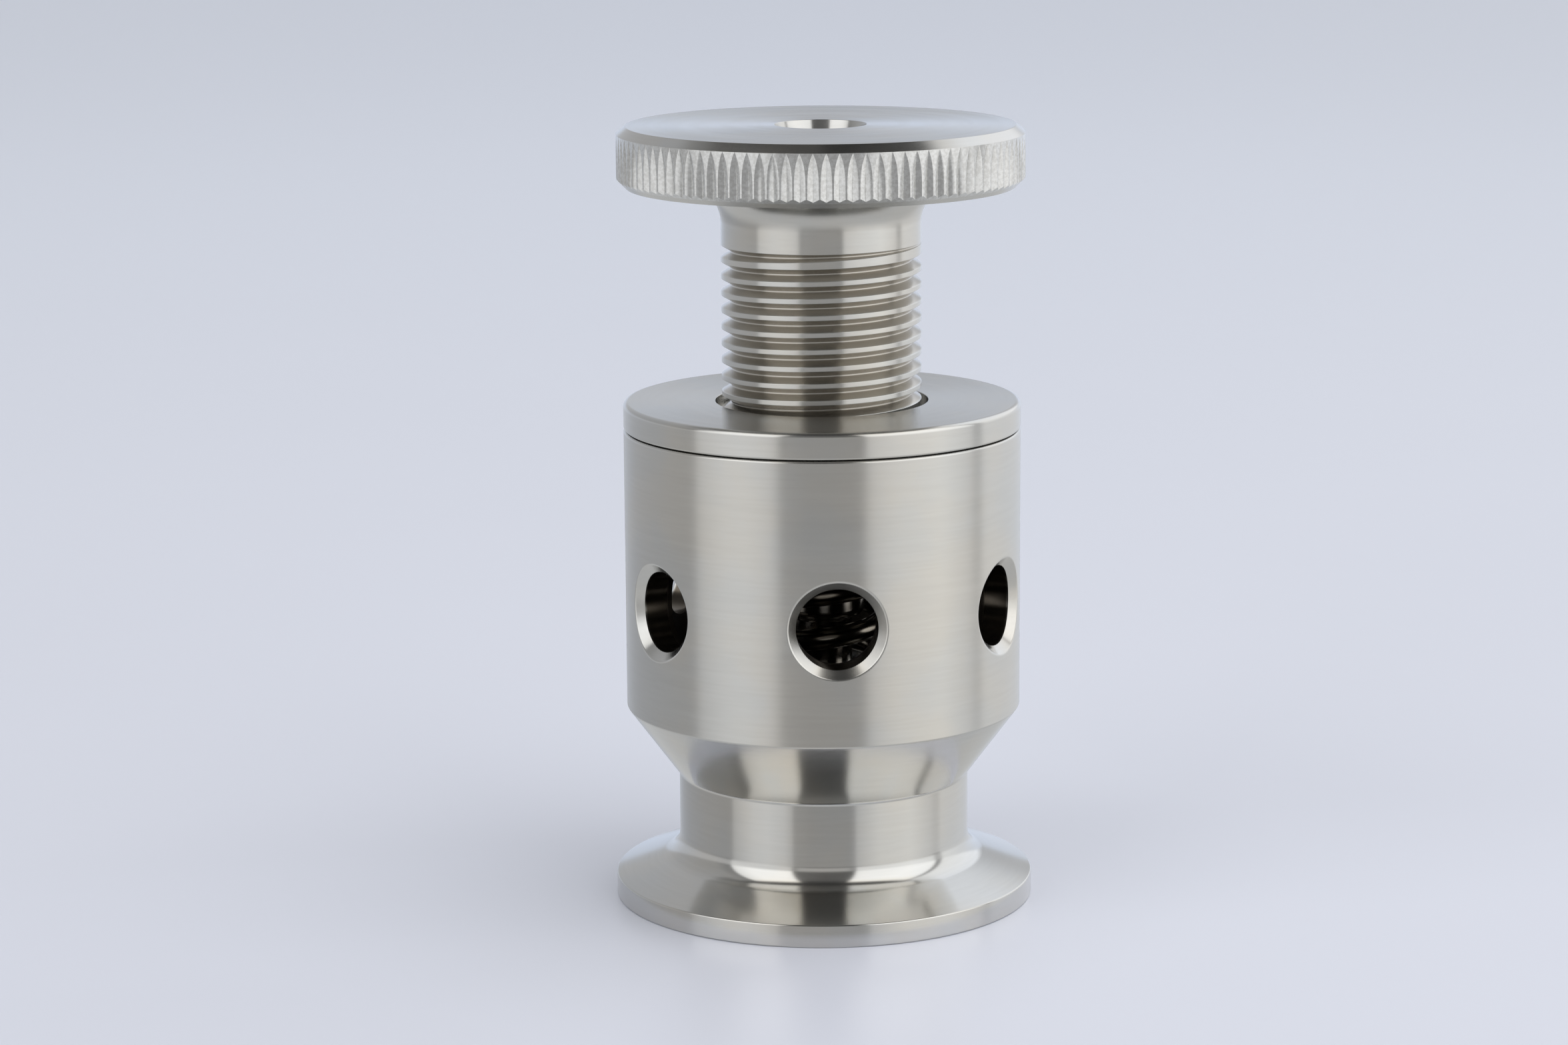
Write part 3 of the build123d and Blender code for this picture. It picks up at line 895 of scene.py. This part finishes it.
# ---- Stage, light and camera -------------------------------------------------------------
def floor_material():
    """A pale floor with a faint sheen, painted darker near the object and paler and bluer far off, as
    painted shade and light.
    """
    finish = Finish("floor_pale", metallic=0.0)
    distance = finish.add("ShaderNodeVectorMath", {0: finish.place}, output=1, operation="LENGTH")
    # painted shade near the object, with a random mottle, and painted light far off, blended by distance
    near_dark, near_pale = (0.72, 0.745, 0.84, 1), (0.745, 0.77, 0.865, 1)
    far_painted_light = (0.84, 0.88, 0.99, 1)
    near_mottle_and_shade = finish.mix(finish.noise(finish.place, 9.0, 3.0), near_dark, near_pale)
    far = finish.span(distance, 0.1, 0.9)
    finish.set(base_color=finish.mix(far, near_mottle_and_shade, far_painted_light), roughness=0.3)
    return finish.material


def make_floor_ring(name, inner, outer, material):
    """A flat ring of floor between two radii in millimetres."""
    surface = Surface()
    upwards = np.array([(0, 1.0)] * 2)
    lathe(surface, [(np.array([(inner, 0), (outer, 0)], float), upwards)], columns=96)
    ring = surface.make(name, material)
    return ring


def make_floor():
    """The floor, in two rings: polished metal mirrors the near one and, past it, the studio."""
    material = floor_material()
    make_floor_ring("floor_near", near_axis, floor_split_radius, material)
    far = make_floor_ring("floor_far", floor_split_radius, floor_radius, material)
    far.visible_glossy = False


# Light round the studio, in bands from the lowest up: a band starts at the first elevation and
# is full at the second. Its stops are (degrees right of the camera, brightness, blueness).
STUDIO_BANDS = [
    (-28.0, -18.0, [
        (-180, 0.55, 0.12), (-140, 0.45, 0.06), (-95, 0.44, 0.02), (-79, 0.44, 0), (-77, 0.58, 0),
        (-58, 0.78, 0), (-46, 0.82, 0), (-32, 0.76, 0), (-25.5, 0.62, 0), (-24.5, 0.46, 0),
        (-10, 0.44, 0), (20, 0.44, 0), (24, 0.52, 0), (25, 0.72, 0), (44, 0.98, -0.03),
        (72, 1.0, -0.02), (94, 0.86, 0), (98, 0.82, 0), (103, 0.82, 0), (106, 0.86, 0),
        (140, 0.8, 0.04), (180, 0.62, 0.12),
    ]),
    (-16.5, -11.5, [
        (-180, 0.6, 0.1), (-140, 0.48, 0.04), (-95, 0.38, 0), (-79, 0.32, 0), (-77, 0.66, 0),
        (-58, 0.95, 0), (-46, 1.0, 0), (-32, 0.82, 0), (-25.5, 0.62, 0), (-24.5, 0.34, 0),
        (-10, 0.22, 0), (20, 0.23, 0), (24, 0.3, 0), (25, 0.48, 0), (44, 0.74, -0.03),
        (72, 0.98, -0.04), (94, 0.66, -0.02), (98, 0.5, 0), (103, 0.53, 0), (106, 0.88, 0),
        (140, 0.83, 0.02), (180, 0.68, 0.12),
    ]),
    (-10.5, -6.5, [
        (-180, 0.8, 0.2), (-140, 0.64, 0.08), (-95, 0.62, 0), (-79, 0.58, 0), (-77, 0.95, 0),
        (-58, 0.96, 0), (-32, 0.9, 0), (-26, 0.84, 0), (-25, 0.42, 0), (-22, 0.42, 0),
        (-20, 0.56, 0), (18, 0.54, 0), (20, 0.42, 0), (24, 0.42, 0), (25, 1.06, 0),
        (72, 1.25, 0), (94, 1.1, 0), (98, 0.62, 0), (103, 0.72, 0), (106, 1.12, 0),
        (140, 0.95, 0.05), (180, 0.8, 0.2),
    ]),
    (6.0, 10.0, [
        (-180, 0.58, 0.05), (-150, 0.5, 0.04), (-95, 0.42, 0), (-79, 0.28, 0), (-77, 1.2, 0),
        (-60, 1.5, 0), (-26, 1.5, 0), (-24.5, 0.2, 0), (0, 0.15, 0), (23.5, 0.15, 0),
        (24.5, 1.4, 0), (70, 1.55, 0), (96, 1.45, 0), (99, 0.4, 0), (103, 0.5, 0),
        (106, 1.25, 0), (140, 1.25, 0.04), (158, 1.2, 0.06), (165, 0.6, 0.05), (180, 0.58, 0.05),
    ]),
    (44.0, 52.0, [
        (-180, 0.5, 0.05), (-150, 0.42, 0), (-135, 0.26, 0), (-112, 0.24, 0), (-95, 0.4, 0),
        (-79, 0.25, 0), (-77, 1.3, -0.03), (-60, 1.5, -0.05), (-26, 1.5, -0.06), (-24.5, 0.1, 0),
        (23.5, 0.1, 0), (24.5, 1.5, -0.06), (96, 1.5, -0.05), (99, 0.4, 0), (106, 1.1, 0),
        (130, 1.0, 0), (180, 0.5, 0.05),
    ]),
    (52.0, 60.0, [(-180, 0.12, 0), (-120, 0.09, 0), (-30, 0.05, 0), (150, 0.03, 0), (180, 0.08, 0)]),
]
STUDIO_FLOOR = (0.63, 0.64, 0.65, 1)
BACKDROP = (0.68, 0.72, 0.85, 1)


def strip_ramp(graph, azimuth, stops):
    """Light by azimuth: stops are (degrees right of the camera, brightness, blueness)."""
    factor = graph.span(azimuth, -180.0, 180.0)
    factor.node.interpolation_type = "LINEAR"
    ramp = graph.tree.nodes.new("ShaderNodeValToRGB")
    graph.feed(ramp.inputs["Fac"], factor)
    elements = ramp.color_ramp.elements
    while len(elements) < len(stops):
        elements.new(0.5)
    for element, (degrees_right, level, blue) in zip(elements, stops):
        element.position = (degrees_right + 180) / 360
        element.color = (level * (1 - 0.5 * blue), level, level * (1 + blue), 1)
    return ramp.outputs["Color"]


def make_world():
    """A studio with a dark middle behind the camera, a bright panel on each side and a pale back."""
    world = bpy.data.worlds.new("studio")
    bpy.context.scene.world = world
    world.use_nodes = True
    graph = Graph(world.node_tree)
    direction = graph.add("ShaderNodeTexCoord", output=0)
    x, y, z = graph.split(direction)
    turn = graph.math("MULTIPLY", graph.math("ARCTAN2", x, graph.math("MULTIPLY", y, -1.0)), 180 / pi)
    azimuth = graph.math("WRAP", graph.math("SUBTRACT", turn, camera_swing), 180.0)
    azimuth.node.inputs[2].default_value = -180.0
    elevation = graph.math("MULTIPLY", graph.math("ARCSINE", z), 180 / pi)
    studio = STUDIO_FLOOR
    for start, full, stops in STUDIO_BANDS:
        studio = graph.mix(graph.span(elevation, start, full), studio, strip_ramp(graph, azimuth, stops))
    seen = graph.add("ShaderNodeLightPath", output="Is Camera Ray")
    shown = graph.mix(seen, studio, BACKDROP)
    background = graph.add("ShaderNodeBackground", {"Color": shown, "Strength": 1.0})
    output = graph.tree.nodes.new("ShaderNodeOutputWorld")
    graph.feed(output.inputs["Surface"], background)


def make_camera():
    """The camera looks down a little at the front vent, from slightly to one side of it."""
    tilt = radians(camera_tilt)
    roll = radians(camera_roll)
    right = Vector((1, 0, 0))
    up = Vector((0, sin(tilt), cos(tilt)))
    forward = Vector((0, cos(tilt), -sin(tilt)))
    rolled_right = right * cos(roll) + up * sin(roll)
    rolled_up = up * cos(roll) - right * sin(roll)
    axes = Matrix((rolled_right, rolled_up, -forward)).transposed().to_4x4()
    place = Matrix.Translation(Vector((camera_across, -camera_distance, camera_height)) * MM)
    data = bpy.data.cameras.new("camera")
    data.sensor_width = camera_sensor
    data.lens = camera_lens
    camera = bpy.data.objects.new("camera", data)
    camera.matrix_world = Matrix.Rotation(radians(camera_swing), 4, "Z") @ place @ axes
    bpy.context.scene.collection.objects.link(camera)
    bpy.context.scene.camera = camera


def make_overhead_light():
    """A wide, weak light overhead, which softens the shadow and which the metal doesn't mirror."""
    place = Vector((0.1, -0.1, 0.9))
    side = 0.7
    power = 3.5
    data = bpy.data.lights.new("overhead_light", "AREA")
    data.shape = "SQUARE"
    data.size = side
    data.energy = power
    light = bpy.data.objects.new("overhead_light", data)
    light.location = place
    light.rotation_mode = "QUATERNION"
    light.rotation_quaternion = (-place).to_track_quat("-Z", "Y")
    light.visible_camera = False
    light.visible_glossy = False
    bpy.context.scene.collection.objects.link(light)


make_floor()
make_world()
make_camera()
make_overhead_light()
bpy.context.scene.view_settings.view_transform = "Standard"
